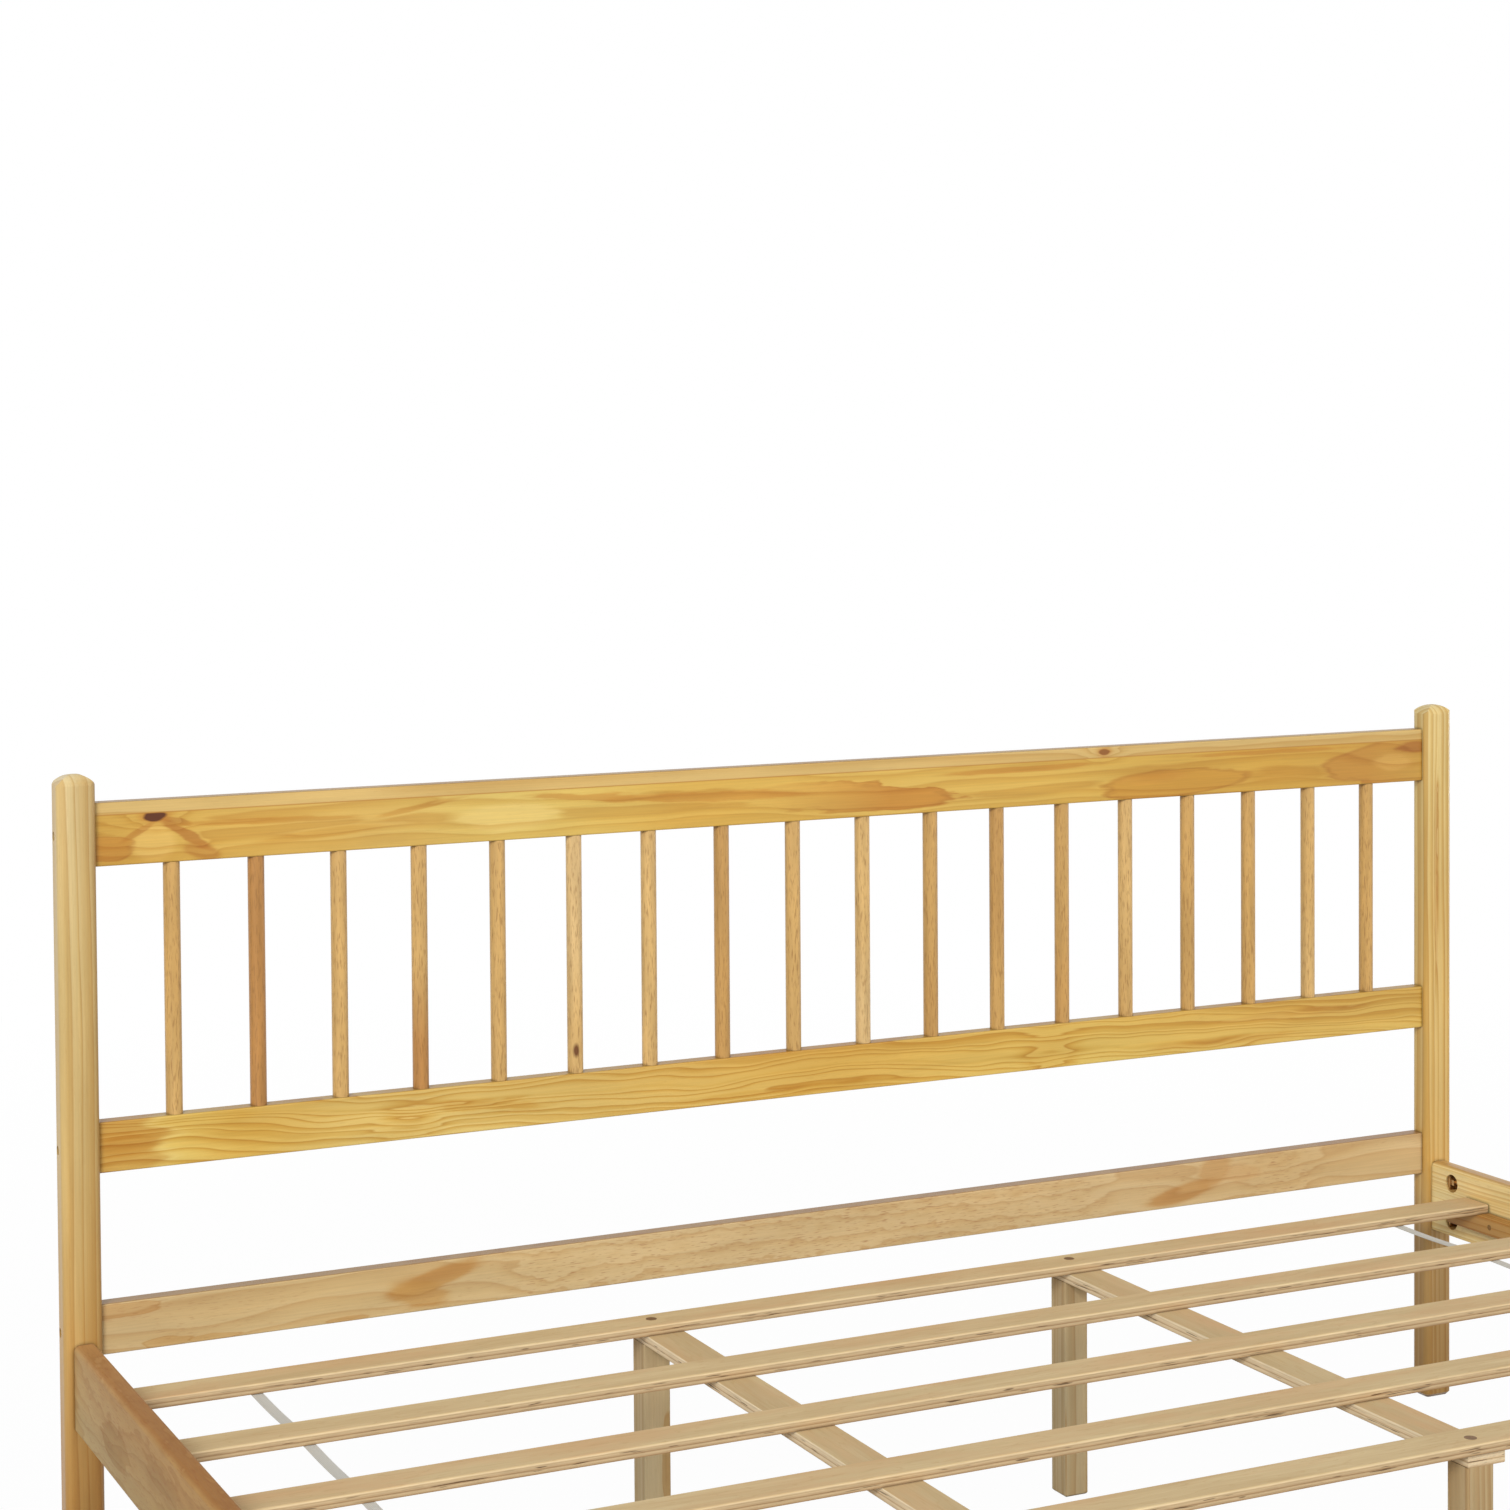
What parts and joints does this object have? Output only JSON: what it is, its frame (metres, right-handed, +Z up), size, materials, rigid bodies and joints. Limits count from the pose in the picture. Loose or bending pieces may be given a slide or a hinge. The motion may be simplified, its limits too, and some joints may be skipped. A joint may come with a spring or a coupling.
{
  "type": "bed frame",
  "caption": "Low-footed wooden bed frame with a slatted base on centre legs and a tall headboard whose turned spindles stand between two plain rails and domed posts.",
  "frame": {"origin": "on the floor, in the middle of the frame's width and length", "axes": "+X to the right seen from the foot of the bed, +Y along the bed towards the headboard, +Z up"},
  "size_m": [2.032, 2.095, 1.015],
  "materials": {
    "pine": "clear satin lacquer over knotty pine",
    "spindle_hardwood": "clear satin lacquer over light hardwood dowel",
    "slat_plywood": "sanded plywood strip, bare edges showing the plies",
    "leg_pine": "sanded bare pine",
    "webbing": "white woven polyester webbing",
    "bronzed_steel": "dull bronzed plating",
    "yellow_zinc_steel": "yellow zinc plating"
  },
  "bodies": {
    "root": {"head_post_left": "pine", "head_post_right": "pine", "foot_post_left": "pine", "foot_post_right": "pine", "head_top_rail": "pine", "head_mid_rail": "pine", "head_low_rail": "pine", "foot_rail": "pine", "side_rail_left": "pine", "side_rail_right": "pine", "ledger_left": "pine", "ledger_right": "pine", "spindle_01": "spindle_hardwood", "spindle_02": "spindle_hardwood", "spindle_03": "spindle_hardwood", "spindle_04": "spindle_hardwood", "spindle_05": "spindle_hardwood", "spindle_06": "spindle_hardwood", "spindle_07": "spindle_hardwood", "spindle_08": "spindle_hardwood", "spindle_09": "spindle_hardwood", "spindle_10": "spindle_hardwood", "spindle_11": "spindle_hardwood", "spindle_12": "spindle_hardwood", "spindle_13": "spindle_hardwood", "spindle_14": "spindle_hardwood", "spindle_15": "spindle_hardwood", "spindle_16": "spindle_hardwood", "spindle_17": "spindle_hardwood", "spindle_18": "spindle_hardwood", "slat_01": "slat_plywood", "slat_02": "slat_plywood", "slat_03": "slat_plywood", "slat_04": "slat_plywood", "slat_05": "slat_plywood", "slat_06": "slat_plywood", "slat_07": "slat_plywood", "slat_08": "slat_plywood", "slat_09": "slat_plywood", "slat_10": "slat_plywood", "beam_head_left": "slat_plywood", "beam_head_right": "slat_plywood", "beam_foot_left": "slat_plywood", "beam_foot_right": "slat_plywood", "leg_head_left_outer": "leg_pine", "leg_head_left_inner": "leg_pine", "leg_head_right_outer": "leg_pine", "leg_head_right_inner": "leg_pine", "leg_foot_left_outer": "leg_pine", "leg_foot_left_inner": "leg_pine", "leg_foot_right_outer": "leg_pine", "leg_foot_right_inner": "leg_pine", "webbing_straps": "webbing", "rail_bolts": "bronzed_steel", "barrel_nuts": "bronzed_steel", "leg_screws": "bronzed_steel", "ledger_screws": "bronzed_steel", "hanger_bolts": "yellow_zinc_steel", "half_moon_washers": "yellow_zinc_steel", "hanger_nuts": "yellow_zinc_steel"}
  },
  "joints": []
}
